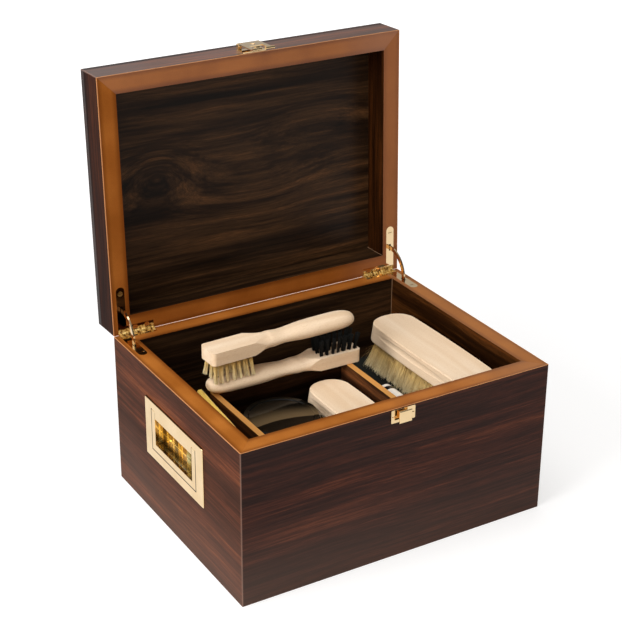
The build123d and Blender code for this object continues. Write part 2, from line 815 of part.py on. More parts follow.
def brush_back(x, y, across, along, corner, top, thickness):
    """Wooden back that widens to a rounded base, with a hollow grip groove along each side."""
    rings = [
        brush_outline(x, y, z, across + 2 * extra, along + 2 * extra, corner)
        for z, extra in ((top - thickness, back_draft), (top - brush_edge, 0), (top, -brush_edge))
    ]
    back = loft(rings, ruled=True)
    fillet(back.faces().sort_by(Axis.Z)[0].edges(), radius=base_round)
    for side in (-1, 1):
        groove_x = x + side * (across / 2 + groove_radius - groove_depth + back_draft / 2)
        with Locations(Location((groove_x, y, top - groove_drop), (90, 0, 0))):
            Cylinder(groove_radius, along, mode=Mode.SUBTRACT)


def brush_pile(x, y, across, along, corner, high, low, flare):
    """Bristles as one solid that flares from the back to the tips."""
    with BuildSketch(Plane((x, y, high))) as root:
        RectangleRounded(across - 2 * pile_inset, along - 2 * pile_inset, corner - pile_inset)
    with BuildSketch(Plane((x, y, low))) as tips:
        RectangleRounded(across + 2 * flare, along + 2 * pile_end_flare, corner)
    loft([root.sketch, tips.sketch], ruled=True)


large_bottom = dark_cloth_top + rest_gap
with BuildPart() as polishing_brush_back:
    brush_back(
        large_brush_x,
        large_brush_y,
        large_brush_width,
        large_brush_length,
        large_corner,
        large_brush_top,
        large_back_thickness,
    )
save(polishing_brush_back, "polishing_brush_back")

with BuildPart() as polishing_brush_bristles:
    brush_pile(
        large_brush_x,
        large_brush_y,
        large_brush_width,
        large_brush_length,
        large_corner,
        large_brush_top - large_back_thickness,
        large_bottom,
        large_flare,
    )
save(polishing_brush_bristles, "polishing_brush_bristles")

with BuildPart() as small_brush_back:
    brush_back(
        small_brush_x,
        small_brush_y,
        small_brush_width,
        small_brush_length,
        small_corner,
        small_brush_top,
        small_back_thickness,
    )
save(small_brush_back, "small_brush_back")

with BuildPart() as small_brush_bristles:
    brush_pile(
        small_brush_x,
        small_brush_y,
        small_brush_width,
        small_brush_length,
        small_corner,
        small_brush_top - small_back_thickness,
        floor_top + rest_gap,
        small_flare,
    )
save(small_brush_bristles, "small_brush_bristles")

# ---------------------------------------------------------------- polish tins
tin_lid_low = tin_height - tin_lid_height
tin_inner = tin_radius - tin_sheet
for number in (0, 1):
    name = ("lower", "upper")[number]
    bottom = floor_top + rest_gap + number * (tin_height + rest_gap)
    section = Plane(origin=(tin_x, tin_y, bottom), x_dir=(1, 0, 0), z_dir=(0, -1, 0))
    turn = Axis((tin_x, tin_y, 0), (0, 0, 1))
    base_radius = tin_inner - rest_gap

    with BuildPart() as tin_base:
        with BuildSketch(section):
            with BuildLine():
                Polyline(
                    (0, 0),
                    (base_radius - tin_sheet, 0),
                    (base_radius, tin_sheet),
                    (base_radius, tin_base_height),
                    (base_radius - tin_sheet, tin_base_height),
                    (base_radius - tin_sheet, tin_sheet),
                    (0, tin_sheet),
                    close=True,
                )
            make_face()
        revolve(axis=turn)
    save(tin_base, f"{name}_tin_base")

    with BuildPart() as tin_polish:
        with Locations((tin_x, tin_y, bottom + (tin_sheet + tin_polish_top) / 2)):
            Cylinder(base_radius - tin_sheet, tin_polish_top - tin_sheet)
    save(tin_polish, f"{name}_tin_polish")

    with BuildPart() as tin_lid:
        panel_radius = tin_radius - 4 * tin_bead
        panel_top = tin_height - tin_sheet
        with BuildSketch(section):
            with BuildLine():
                Polyline(
                    (0, panel_top),
                    (panel_radius, panel_top),
                    (panel_radius + tin_sheet, tin_height),
                    (tin_radius - tin_bead, tin_height),
                    (tin_radius, tin_height - tin_bead),
                    (tin_radius, tin_lid_low),
                    (tin_inner, tin_lid_low),
                    (tin_inner, panel_top - tin_sheet),
                    (0, panel_top - tin_sheet),
                    close=True,
                )
            make_face()
        revolve(axis=turn)
    save(tin_lid, f"{name}_tin_lid")

# ---------------------------------------------------------------- bottle and cloths
bottle_z = dark_cloth_top + rest_gap + bottle_radius
bottle_far = Plane(origin=(bottle_x, bottle_far_y, bottle_z), x_dir=(1, 0, 0), z_dir=(0, -1, 0))
with BuildPart() as bottle_cap:
    with BuildSketch(bottle_far):
        Circle(bottle_radius)
    extrude(amount=bottle_cap_length)
    chamfer(bottle_cap.edges().group_by(Axis.Y)[-1], length=bottle_cap_bevel)
save(bottle_cap, "bottle_cap")

with BuildPart() as bottle_body:
    with BuildSketch(bottle_far.offset(bottle_cap_length)):
        Circle(bottle_radius)
    extrude(amount=bottle_length)
    fillet(bottle_body.edges().group_by(Axis.Y)[0], radius=bottle_end_round)
save(bottle_body, "bottle_body")

with BuildPart() as dark_cloth:
    block(dark_cloth_x, dark_cloth_y, (floor_top + rest_gap, dark_cloth_top))
    fillet(dark_cloth.edges().filter_by(Axis.Z), radius=cloth_round)
save(dark_cloth, "dark_cloth")

with BuildPart() as yellow_cloth:
    block(yellow_cloth_x, yellow_cloth_y, (floor_top + rest_gap, yellow_cloth_top))
    fillet(yellow_cloth.edges().filter_by(Axis.Z), radius=cloth_round)
save(yellow_cloth, "yellow_cloth")
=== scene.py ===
"""Shoe shine box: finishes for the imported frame, bristles, folded cloths, studio and camera.

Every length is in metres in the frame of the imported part: +X right, +Y back, +Z up.
"""
import json
from math import cos, pi, radians, sin, tan

import bpy
import numpy as np
from mathutils import Matrix, Vector


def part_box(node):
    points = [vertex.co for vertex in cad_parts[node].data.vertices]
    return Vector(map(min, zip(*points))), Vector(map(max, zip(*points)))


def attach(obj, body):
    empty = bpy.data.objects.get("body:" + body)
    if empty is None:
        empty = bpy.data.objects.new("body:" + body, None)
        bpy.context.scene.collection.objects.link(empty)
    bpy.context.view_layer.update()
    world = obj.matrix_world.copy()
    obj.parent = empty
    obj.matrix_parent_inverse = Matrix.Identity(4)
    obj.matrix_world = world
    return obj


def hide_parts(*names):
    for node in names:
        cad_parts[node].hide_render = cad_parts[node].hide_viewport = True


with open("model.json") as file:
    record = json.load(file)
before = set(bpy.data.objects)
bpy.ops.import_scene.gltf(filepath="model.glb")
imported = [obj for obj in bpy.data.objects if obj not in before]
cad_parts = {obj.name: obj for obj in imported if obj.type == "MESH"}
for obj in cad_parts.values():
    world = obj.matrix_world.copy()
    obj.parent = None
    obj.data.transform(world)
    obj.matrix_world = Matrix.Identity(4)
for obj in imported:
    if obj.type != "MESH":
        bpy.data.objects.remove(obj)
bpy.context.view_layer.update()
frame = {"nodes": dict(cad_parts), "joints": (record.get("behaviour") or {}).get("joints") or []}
nodes = frame["nodes"]

# ---------------------------------------------------------------- sizes read from the frame
half_width, _, rim_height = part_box("front_panel")[1]
half_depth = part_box("back_panel")[1].y
wall = half_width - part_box("inner_floor")[1].x
divider_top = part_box("divider_left")[1].z

lid_joint = next(j for j in frame["joints"] if j["name"] == "lid_hinge")
hinge_point = Vector(lid_joint["pos_m"])
lid_open = radians(92)  # from shut to the rest pose
lid_rim_height = 2 * hinge_point.z - rim_height
to_hinge = Matrix.Translation(hinge_point)
to_shut = to_hinge @ Matrix.Rotation(lid_open, 4, "X") @ to_hinge.inverted()
lid_top_height = max((to_shut @ vertex.co).z for vertex in nodes["lid_top_panel"].data.vertices)


# ---------------------------------------------------------------- shader helpers
def srgb(red, green, blue):
    """Scene-linear colour from display values of 0 to 255."""
    def linear(value):
        value /= 255
        return value / 12.92 if value <= 0.04045 else ((value + 0.055) / 1.055) ** 2.4

    return (linear(red), linear(green), linear(blue), 1.0)


class Shader:
    """The node tree of a material, or of the world, with short calls for the nodes used here."""

    def __init__(self, name, world=None):
        self.material = world or bpy.data.materials.new(name)
        self.material.use_nodes = True
        self.tree = self.material.node_tree
        self.tree.nodes.clear()

    def node(self, kind, inputs=None, **settings):
        """Add a node; an input is given a value, or a socket to link from."""
        made = self.tree.nodes.new(kind)
        for key, value in settings.items():
            setattr(made, key, value)
        for key, value in (inputs or {}).items():
            if isinstance(value, bpy.types.NodeSocket):
                self.tree.links.new(value, made.inputs[key])
            else:
                made.inputs[key].default_value = value
        return made

    def position(self):
        return self.node("ShaderNodeTexCoord").outputs["Object"]

    def math(self, operation, first, second=0.0):
        return self.node("ShaderNodeMath", {0: first, 1: second}, operation=operation).outputs[0]

    def add(self, first, second):
        return self.math("ADD", first, second)

    def minus(self, first, second):
        return self.math("SUBTRACT", first, second)

    def times(self, first, second):
        return self.math("MULTIPLY", first, second)

    def stretched(self, vector, factors):
        """The vector with each of its parts multiplied by its own factor."""
        return self.node("ShaderNodeVectorMath", {0: vector, 1: factors}, operation="MULTIPLY").outputs[0]

    def split(self, vector):
        return self.node("ShaderNodeSeparateXYZ", {0: vector}).outputs

    def join(self, x, y, z):
        return self.node("ShaderNodeCombineXYZ", {0: x, 1: y, 2: z}).outputs[0]

    def step(self, value, low, high):
        """0 below low, 1 above high, smooth between; low may be the larger one."""
        made = self.node(
            "ShaderNodeMapRange",
            {"Value": value, "From Min": low, "From Max": high},
            interpolation_type="SMOOTHSTEP",
        )
        return made.outputs[0]

    def near(self, distance, reach, blur=0.0003):
        """1 at a distance of 0, falling to 0 over the last blur before reach."""
        return self.step(distance, reach, reach - blur)

    def remap(self, value, low, high, to_low, to_high):
        made = self.node(
            "ShaderNodeMapRange",
            {"Value": value, "From Min": low, "From Max": high, "To Min": to_low, "To Max": to_high},
        )
        return made.outputs[0]

    def noise(self, vector, scale=1.0, detail=3.0, roughness=0.5, distortion=0.0):
        made = self.node(
            "ShaderNodeTexNoise",
            {
                "Vector": vector,
                "Scale": scale,
                "Detail": detail,
                "Roughness": roughness,
                "Distortion": distortion,
            },
        )
        return made.outputs["Fac"]

    def mix(self, factor, first, second, blend="MIX"):
        inputs = {0: factor, 6: first, 7: second}
        return self.node("ShaderNodeMix", inputs, data_type="RGBA", blend_type=blend).outputs[2]

    def ramp(self, factor, stops):
        """Colour ramp through (place, colour) stops."""
        made = self.node("ShaderNodeValToRGB", {0: factor})
        elements = made.color_ramp.elements
        while len(elements) < len(stops):
            elements.new(0.5)
        for element, (place, colour) in zip(elements, stops):
            element.position = place
            element.color = colour
        return made.outputs[0]

    def bump(self, height, distance, strength=1.0):
        made = self.node("ShaderNodeBump", {"Height": height, "Distance": distance, "Strength": strength})
        return made.outputs[0]

    def surface(self, **inputs):
        """Principled surface; its inputs are named with underscores for spaces."""
        named = {key.replace("_", " "): value for key, value in inputs.items()}
        shader = self.node("ShaderNodeBsdfPrincipled", named)
        self.node("ShaderNodeOutputMaterial", {0: shader.outputs[0]})
        return self.material


def dress(names, material):
    """Give CAD nodes one material."""
    for name in names:
        mesh = nodes[name].data
        mesh.materials.clear()
        mesh.materials.append(material)


# ---------------------------------------------------------------- wood
untinted = (1.0, 1.0, 1.0, 1.0)
outer_warp, inner_warp, floor_warp = 0.010, 0.013, 0.020  # how far a slow noise bends the grain
board_figure, floor_figure = 55.0, 90.0  # bands of walnut per metre
worn_width = 0.0008  # of the pale lines along the corners
skin = 0.0006  # depth within which a point counts as on a face
floor_light_low, floor_light_high = -0.02, 0.105  # heights between which the painted light from the floor fades out
floor_light_left, floor_light_right = 0.24, 0.10


def scaled(sh, vector, along, across):
    return sh.stretched(vector, (along, across, across))


def streak_coordinates(sh, place, along, warp, seed, knots=()):
    """Grain coordinates: x runs along the board, and a slow noise bends the lines across it.

    Each knot (x, y, reach along, reach across, push) pushes the lines aside round its middle."""
    x, y, z = sh.split(place)
    run, cross = {"x": (x, y), "y": (y, x)}[along]
    slow = scaled(sh, sh.join(run, cross, z), 5.0, 9.0)
    bend = sh.minus(sh.noise(slow, 1.0, 2.0), 0.5)
    shift = sh.times(bend, warp)
    for knot_x, knot_y, reach_x, reach_y, push in knots:
        off_x = sh.math("DIVIDE", sh.minus(x, knot_x), reach_x)
        off_y = sh.math("DIVIDE", sh.minus(y, knot_y), reach_y)
        square = sh.add(sh.times(off_x, off_x), sh.times(off_y, off_y))
        bell = sh.math("EXPONENT", sh.times(square, -1.0))
        shift = sh.add(shift, sh.times(bell, push))
    return sh.join(sh.add(run, seed), sh.add(cross, shift), sh.add(z, shift))


def rosewood(sh, grain):
    """Outer veneer: near-black brown with long reddish streaks. Returns colour and height."""
    zones = sh.noise(scaled(sh, grain, 1.6, 17.0), 1.0, 2.0, 0.5)
    bands = sh.noise(scaled(sh, grain, 3.2, 62.0), 1.0, 3.0, 0.5, 0.25)
    streaks = sh.noise(scaled(sh, grain, 7.0, 340.0), 1.0, 4.0, 0.65, 0.15)
    fibres = sh.noise(scaled(sh, grain, 55.0, 1300.0), 1.0, 3.0, 0.65)
    tone = sh.add(sh.times(zones, 0.30), sh.times(bands, 0.30))
    tone = sh.add(tone, sh.times(streaks, 0.40))
    colour = sh.ramp(
        tone,
        (
            (0.36, srgb(27, 15, 13)),
            (0.46, srgb(46, 26, 21)),
            (0.54, srgb(68, 36, 27)),
            (0.64, srgb(104, 57, 38)),
        ),
    )
    colour = sh.mix(sh.remap(fibres, 0.40, 0.68, 0.0, 0.55), colour, srgb(25, 15, 13))
    return colour, fibres


def walnut(sh, grain, figure):
    """Inner veneer: dark olive brown, with a broad figure. Returns colour and height."""
    bands = sh.noise(scaled(sh, grain, 3.2, figure), 1.0, 4.0, 0.55, 0.4)
    streaks = sh.noise(scaled(sh, grain, 7.0, 270.0), 1.0, 4.0, 0.6, 0.2)
    fibres = sh.noise(scaled(sh, grain, 70.0, 1500.0), 1.0, 3.0, 0.65)
    tone = sh.add(sh.times(bands, 0.62), sh.times(streaks, 0.38))
    colour = sh.ramp(
        tone,
        (
            (0.36, srgb(18, 11, 7)),
            (0.46, srgb(39, 25, 15)),
            (0.54, srgb(60, 41, 25)),
            (0.66, srgb(90, 60, 36)),
        ),
    )
    colour = sh.mix(sh.remap(fibres, 0.40, 0.68, 0.0, 0.55), colour, srgb(20, 13, 8))
    return colour, fibres


def tan_board(sh, place):
    """Stained board edge: warm tan with a fine speckle."""
    cloud = sh.noise(place, 24.0, 3.0)
    speckle = sh.noise(place, 1500.0, 2.0, 0.6)
    colour = sh.ramp(cloud, ((0.3, srgb(152, 88, 32)), (0.7, srgb(180, 110, 46))))
    return sh.mix(sh.remap(speckle, 0.45, 0.75, 0.0, 0.35), colour, srgb(118, 64, 22))


def painted_rim(sh, place, on_lid, outer, inner, diagonal):
    """Stained rim: darker towards both of its edges; paler towards its right end as a painted reflection, and
    darker all over on the lid as painted shade.
    """
    x, y, _ = sh.split(place)
    inner_right = half_width - wall
    colour = tan_board(sh, place)
    nearest = sh.math("MINIMUM", outer, inner)
    colour = sh.mix(sh.times(sh.near(nearest, 0.0060, 0.0058), 0.65), colour, srgb(92, 44, 14))
    if on_lid:
        # Painted shade darkens the lid's rim, and a painted reflection pales it towards the right.
        colour = sh.mix(0.36, colour, srgb(94, 46, 14))
        pale = sh.times(sh.step(x, 0.08, inner_right), 0.45)
        colour = sh.mix(pale, colour, srgb(154, 106, 80))
    else:
        # A painted reflection pales the rim along the right board and towards the right of the front board.
        on_right_board = sh.step(x, inner_right - 0.001, inner_right)
        on_front_board = sh.step(y, wall - half_depth + 0.001, wall - half_depth)
        fading = sh.times(on_front_board, sh.step(x, 0.05, inner_right))
        pale = sh.times(sh.math("MAXIMUM", on_right_board, fading), 0.4)
        colour = sh.mix(pale, colour, srgb(152, 112, 82))
    mitre = sh.near(diagonal, 0.0005, 0.0004)
    colour = sh.mix(sh.times(mitre, 0.25), colour, srgb(96, 50, 20))
    bright_edge = sh.near(outer, worn_width, 0.0004)
    return sh.mix(sh.times(bright_edge, 0.7), colour, srgb(206, 146, 98))


def board_material(
    name, along, on_lid, seed, knots=(), gloss=0.01, outer_tint=untinted, inner_tint=untinted, calm=0.0
):
    """Veneer outside, walnut inside and a tan rim, told apart by where a point is on the shut box.

    calm evens out the streaks of the veneer."""
    sh = Shader(name)
    place = sh.position()
    if on_lid:
        place = sh.node(
            "ShaderNodeVectorRotate",
            {"Vector": place, "Center": hinge_point, "Angle": lid_open},
            rotation_type="X_AXIS",
        ).outputs[0]
    x, y, z = sh.split(place)
    off_side = sh.minus(half_width, sh.math("ABSOLUTE", x))
    off_end = sh.minus(half_depth, sh.math("ABSOLUTE", y))
    diagonal = sh.math("ABSOLUTE", sh.minus(off_side, off_end))
    outer = sh.math("MINIMUM", off_side, off_end)
    inner = sh.minus(wall, outer)
    if on_lid:
        off_rim = sh.minus(z, lid_rim_height)
        far_edge = sh.minus(lid_top_height, z)
    else:
        off_rim = sh.minus(rim_height, z)
        far_edge = z

    outside, outside_height = rosewood(sh, streak_coordinates(sh, place, along, outer_warp, seed))
    inside_grain = streak_coordinates(sh, place, along, inner_warp, seed, knots)
    inside, inside_height = walnut(sh, inside_grain, board_figure)
    outside = sh.mix(calm, outside, srgb(62, 35, 27))
    # Apart from redder, the tints passed in lighten or darken the veneer as painted light and painted shade.
    outside = sh.mix(1.0, outside, outer_tint, "MULTIPLY")
    inside = sh.mix(1.0, inside, inner_tint, "MULTIPLY")
    is_inside = sh.near(inner, skin)
    if not on_lid:
        # Painted light from the floor: the outside pales towards the foot, more so on the left.
        floor_lit = sh.step(z, floor_light_high, floor_light_low)
        amount = sh.remap(x, -half_width, half_width, floor_light_left, floor_light_right)
        outside = sh.mix(sh.times(floor_lit, amount), outside, srgb(138, 116, 106))
    colour = sh.mix(is_inside, outside, inside)

    # The veneer is rubbed through to a pale line at the corners.
    corner = sh.near(sh.add(off_side, off_end), worn_width)
    foot = sh.times(sh.near(far_edge, skin), sh.near(outer, skin))
    colour = sh.mix(sh.times(sh.math("MAXIMUM", corner, foot), 0.32), colour, srgb(158, 128, 114))
    by_the_wall = sh.step(inner, -0.0012, -0.0008)
    inner_corner = sh.times(sh.times(by_the_wall, sh.near(diagonal, skin)), is_inside)
    colour = sh.mix(sh.times(inner_corner, 0.6), colour, srgb(178, 142, 112))

    rim_colour = painted_rim(sh, place, on_lid, outer, inner, diagonal)
    colour = sh.mix(sh.near(off_rim, 0.0005), colour, rim_colour)

    height = sh.mix(is_inside, outside_height, inside_height)
    normal = sh.bump(height, 0.00003, 0.35)
    haze = sh.noise(place, 14.0, 3.0)
    roughness = sh.remap(haze, 0.3, 0.7, 0.30, 0.38)
    return sh.surface(Base_Color=colour, Roughness=roughness, Normal=normal, Specular_IOR_Level=gloss)


def inside_wood(name, along, tint=untinted):
    """Floor, bearers and dividers: walnut with tan top edges."""
    sh = Shader(name)
    place = sh.position()
    z = sh.split(place)[2]
    grain = streak_coordinates(sh, place, along, floor_warp, 0.37)
    colour, height = walnut(sh, grain, floor_figure)
    colour = sh.mix(1.0, colour, tint, "MULTIPLY")
    top = sh.near(sh.minus(divider_top, z), 0.0005)
    colour = sh.mix(top, colour, sh.mix(0.55, tan_board(sh, place), srgb(224, 168, 96)))
    normal = sh.bump(height, 0.00003, 0.35)
    return sh.surface(Base_Color=colour, Roughness=0.36, Normal=normal, Specular_IOR_Level=0.04)


def beech(name, along):
    """Pale sanded beech: faint growth bands and the short dark flecks of its rays."""
    sh = Shader(name)
    place = sh.position()
    x, y, z = sh.split(place)
    run, cross = (x, y) if along == "x" else (y, x)
    grain = sh.join(run, cross, z)
    bands = sh.noise(scaled(sh, grain, 7.0, 90.0), 1.0, 3.0, 0.5, 0.6)
    fine = sh.noise(scaled(sh, grain, 45.0, 900.0), 1.0, 3.0, 0.6)
    flecks = sh.noise(scaled(sh, grain, 420.0, 2600.0), 1.0, 1.0, 0.5)
    colour = sh.ramp(
        bands,
        (
            (0.3, srgb(228, 199, 165)),
            (0.5, srgb(234, 208, 177)),
            (0.7, srgb(240, 217, 189)),
        ),
    )
    colour = sh.mix(sh.remap(fine, 0.45, 0.75, 0.0, 0.22), colour, srgb(219, 188, 152))
    colour = sh.mix(sh.remap(flecks, 0.56, 0.70, 0.0, 0.38), colour, srgb(196, 154, 114))
    height = sh.add(fine, sh.times(flecks, -0.4))
    normal = sh.bump(height, 0.00004, 0.4)
    roughness = sh.remap(bands, 0.3, 0.7, 0.50, 0.60)
    return sh.surface(Base_Color=colour, Roughness=roughness, Normal=normal, Specular_IOR_Level=0.4)


# ---------------------------------------------------------------- metal, lacquer and cloth
half_gap = 0.0002  # of the gap round a bail
cup_flange = 0.0086  # from the foot of a handle cup's flange up to its lower wall
cup_sheet = 0.001
knuckle_radius, knuckle_reach = 0.0050, 0.0065  # the finish of the hinge knuckles fades in between


def polished_brass(name, gap_round=None, plate_top=None):
    """Lacquered brass: bright, with faint swirls, and painted shade in the gap round the box gap_round.

    The plate's upper edge, at plate_top, is painted dark: a painted dark reflection."""
    sh = Shader(name)
    place = sh.position()
    cloud = sh.noise(place, 60.0, 3.0)
    swirl = sh.noise(sh.stretched(place, (900.0, 5200.0, 900.0)), 1.0, 2.0)
    colour = sh.ramp(cloud, ((0.3, srgb(228, 198, 150)), (0.7, srgb(238, 210, 166))))
    roughness = sh.remap(cloud, 0.3, 0.7, 0.05, 0.10)
    if gap_round:
        low, high = gap_round
        _, y, z = sh.split(place)
        off_middle = sh.math("ABSOLUTE", sh.minus(y, (low.y + high.y) / 2))
        beside = sh.minus(off_middle, (high.y - low.y) / 2)
        outside = sh.math("MAXIMUM", beside, sh.minus(low.z, z))
        off_gap = sh.math("ABSOLUTE", sh.minus(outside, half_gap))
        # Painted shade along the gap round the bail, and a painted dark reflection along the plate's top
        # edge.
        painted_dark = sh.times(sh.near(off_gap, 0.0008), sh.step(z, high.z + 0.0006, high.z))
        painted_dark = sh.math("MAXIMUM", painted_dark, sh.step(z, plate_top - 0.0009, plate_top - 0.0005))
        colour = sh.mix(painted_dark, colour, srgb(84, 50, 12))
    normal = sh.bump(swirl, 0.000002, 1.0)
    return sh.surface(Base_Color=colour, Metallic=1.0, Roughness=roughness, Normal=normal)


def pressed_brass(name, cup):
    """Thin pressed sheet with painted reflections in streaks: upright ones, and level ones on the lower wall.

    The back is painted darker towards the front, as painted shade. cup is the box of the left cup."""
    sh = Shader(name)
    place = sh.position()
    x, y, z = sh.split(place)
    low, high = cup
    middle_y = (low.y + high.y) / 2
    lower_wall = low.z + cup_flange
    back_wall = cup_sheet - high.x
    upright = sh.noise(sh.stretched(place, (60.0, 160.0, 5.0)), 1.0, 2.0)
    level = sh.noise(sh.stretched(place, (60.0, 10.0, 220.0)), 1.0, 2.0)
    # The streaks are painted reflections, bright and dark.
    streaks = sh.mix(sh.step(z, lower_wall + 0.0015, lower_wall + 0.0005), upright, level)
    colour = sh.ramp(
        streaks,
        (
            (0.40, srgb(104, 82, 40)),
            (0.47, srgb(168, 140, 76)),
            (0.52, srgb(222, 196, 124)),
            (0.57, srgb(255, 246, 200)),
        ),
    )
    # Painted shade: the back darkens towards the front.
    on_back = sh.step(sh.math("ABSOLUTE", x), back_wall + 0.0006, back_wall + 0.0002)
    to_front = sh.step(y, middle_y + 0.02, middle_y - 0.005)
    dull = sh.times(sh.times(on_back, to_front), 0.65)
    colour = sh.mix(dull, colour, srgb(74, 52, 22))
    normal = sh.bump(streaks, 0.0001, 1.0)
    return sh.surface(Base_Color=colour, Metallic=0.85, Roughness=0.04, Normal=normal)


def hinge_brass(name, plate):
    """Brass of the hinges: smooth on the plates, yellower and satin with dull rings at the knuckles."""
    sh = Shader(name)
    place = sh.position()
    x, y, z = sh.split(place)
    axis = (0.0, hinge_point.y, hinge_point.z)
    off_axis = sh.node("ShaderNodeVectorMath", {0: sh.join(0.0, y, z), 1: axis}, operation="DISTANCE")
    knuckle = sh.step(off_axis.outputs["Value"], knuckle_reach, knuckle_radius)
    rings = sh.noise(sh.join(sh.times(x, 420.0), sh.times(z, 300.0), 0.0), 1.0, 2.0)
    satin = sh.ramp(
        rings,
        (
            (0.38, srgb(96, 62, 20)),
            (0.48, srgb(204, 158, 78)),
            (0.62, srgb(248, 218, 142)),
        ),
    )
    colour = sh.mix(knuckle, plate, satin)
    cloud = sh.noise(place, 60.0, 3.0)
    smooth = sh.remap(cloud, 0.3, 0.7, 0.05, 0.10)
    roughness = sh.add(smooth, sh.times(knuckle, 0.2))
    metallic = sh.minus(1.0, sh.times(knuckle, 0.5))
    normal = sh.bump(sh.times(rings, knuckle), 0.0002, 1.0)
    return sh.surface(Base_Color=colour, Metallic=metallic, Roughness=roughness, Normal=normal)


tin_middle_x = -0.088
reflection_curve = 5.5  # how strongly the front end of the painted reflection on the tin's lid curves, per metre
reflection_back, reflection_front, reflection_end = -0.022, -0.046, -0.0478  # the painted reflection, a band, pales from its back to its front


def lacquered_tin(name):
    """Black lacquered sheet; a bronze band across the lid, a painted reflection, pales to the front and ends
    in a curve.
    """
    sh = Shader(name)
    place = sh.position()
    orange_peel = sh.noise(place, 700.0, 2.0)
    dust = sh.noise(place, 2600.0, 1.0)
    x, y, _ = sh.split(place)
    aside = sh.minus(x, tin_middle_x)
    front = sh.add(y, sh.times(sh.times(aside, aside), reflection_curve))
    # The bronze band is a painted reflection.
    band = sh.times(sh.step(front, reflection_back, reflection_front), sh.step(front, reflection_end, reflection_front - 0.0006))
    colour = sh.mix(band, srgb(9, 8, 6), srgb(94, 77, 54))
    colour = sh.mix(sh.remap(dust, 0.62, 0.8, 0.0, 0.12), colour, srgb(90, 84, 74))
    normal = sh.bump(orange_peel, 0.00001, 0.2)
    return sh.surface(Base_Color=colour, Roughness=0.08, Normal=normal, Specular_IOR_Level=0.15)


def tinplate(name):
    """Bare drawn sheet of a tin's base."""
    sh = Shader(name)
    place = sh.position()
    drawn = sh.noise(sh.stretched(place, (60.0, 60.0, 3500.0)), 1.0, 2.0)
    colour = sh.ramp(drawn, ((0.3, srgb(176, 174, 170)), (0.7, srgb(206, 204, 200))))
    normal = sh.bump(drawn, 0.00001, 0.3)
    return sh.surface(Base_Color=colour, Metallic=1.0, Roughness=0.24, Normal=normal)


def wax(name):
    """Black polish paste with a softly dished, smeared top."""
    sh = Shader(name)
    place = sh.position()
    smear = sh.noise(sh.stretched(place, (160.0, 40.0, 90.0)), 1.0, 4.0)
    colour = sh.ramp(smear, ((0.3, srgb(20, 17, 15)), (0.7, srgb(38, 32, 28))))
    normal = sh.bump(smear, 0.0004, 0.5)
    return sh.surface(Base_Color=colour, Roughness=0.42, Normal=normal)


def bottle_plastic(name, band_low, band_high):
    """White plastic with a plain dark band round it between two places along Y."""
    sh = Shader(name)
    place = sh.position()
    y = sh.split(place)[1]
    blur = 0.0003
    band = sh.times(sh.step(y, band_low, band_low + blur), sh.step(y, band_high, band_high - blur))
    mottle = sh.noise(place, 500.0, 2.0)
    white = sh.ramp(mottle, ((0.3, srgb(248, 240, 228)), (0.7, srgb(252, 246, 236))))
    colour = sh.mix(band, white, srgb(18, 18, 19))
    normal = sh.bump(mottle, 0.00002, 0.2)
    return sh.surface(Base_Color=colour, Roughness=0.22, Normal=normal)


def hair(name, root, middle, tip, spread):
    """Bristle: each strand has its own tone, kept in the strand attribute, and pales to its tip."""
    sh = Shader(name)
    strand = sh.node("ShaderNodeAttribute", attribute_name="strand").outputs
    tone, run, _ = sh.split(strand["Vector"])
    colour = sh.ramp(run, ((0.0, root), (0.30, middle), (1.0, tip)))
    colour = sh.mix(sh.remap(tone, 0.0, 1.0, 0.0, spread), colour, root)
    return sh.surface(Base_Color=colour, Roughness=0.5, Specular_IOR_Level=0.2)


def flannel(name, colour, shade, nap, sheen):
    """Brushed cotton: a fine weave under a soft nap."""
    sh = Shader(name)
    place = sh.position()
    x, y, z = sh.split(place)
    thread = 0.0011
    warp = sh.math("SINE", sh.times(y, 2 * pi / thread))
    weft = sh.math("SINE", sh.times(sh.add(x, z), 2 * pi / thread))
    weave = sh.times(warp, weft)
    fluff = sh.noise(place, 900.0, 4.0, 0.7)
    cloud = sh.noise(place, 45.0, 3.0)
    base = sh.mix(sh.remap(cloud, 0.3, 0.7, 0.0, 0.6), colour, shade)
    base = sh.mix(sh.remap(fluff, 0.45, 0.75, 0.0, 0.5), base, nap)
    height = sh.add(fluff, sh.times(weave, 0.12))
    normal = sh.bump(height, 0.0004, 0.7)
    return sh.surface(
        Base_Color=base,
        Roughness=0.95,
        Normal=normal,
        Sheen_Weight=sheen,
        Sheen_Roughness=0.5,
        Specular_IOR_Level=0.15,
    )


# ---------------------------------------------------------------- finishes of the CAD nodes
# Tints multiply the colour of the veneer. All but redder lighten or darken the wood as painted light and
# painted shade.
redder = (1.45, 1.0, 0.55, 1.0)
ruddy_painted_shade = (0.8, 0.5, 0.28, 1.0)
painted_side_light = (1.75, 1.8, 1.5, 1.0)
lit = (2.4, 2.3, 1.4, 1.0)
walnut_painted_light = (2.6, 1.9, 1.5, 1.0)
painted_dimming = (0.45, 0.42, 0.35, 1.0)
shadowed = (0.4, 0.36, 0.34, 1.0)
dress(("front_panel", "back_panel"), board_material("case_long_boards", "x", False, 0.0, gloss=0.09))
# The outside of the side boards is painted lighter: painted light from the left.
dress(
    ("left_panel", "right_panel"),
    board_material("case_side_boards", "y", False, 1.7, outer_tint=painted_side_light, inner_tint=redder, calm=0.2),
)
# The outside of the lid's front board is painted lighter: a painted sheen.
dress(
    ("lid_front_rail",),
    board_material("lid_front_board", "x", True, 0.9, gloss=0.5, outer_tint=lit),
)
dress(("lid_back_rail",), board_material("lid_back_board", "x", True, 0.9))
# The lid's side boards are painted darker outside and inside, and its top board outside, as painted shade.
dress(
    ("lid_left_rail", "lid_right_rail"),
    board_material("lid_side_boards", "y", True, 2.3, outer_tint=painted_dimming, inner_tint=ruddy_painted_shade),
)
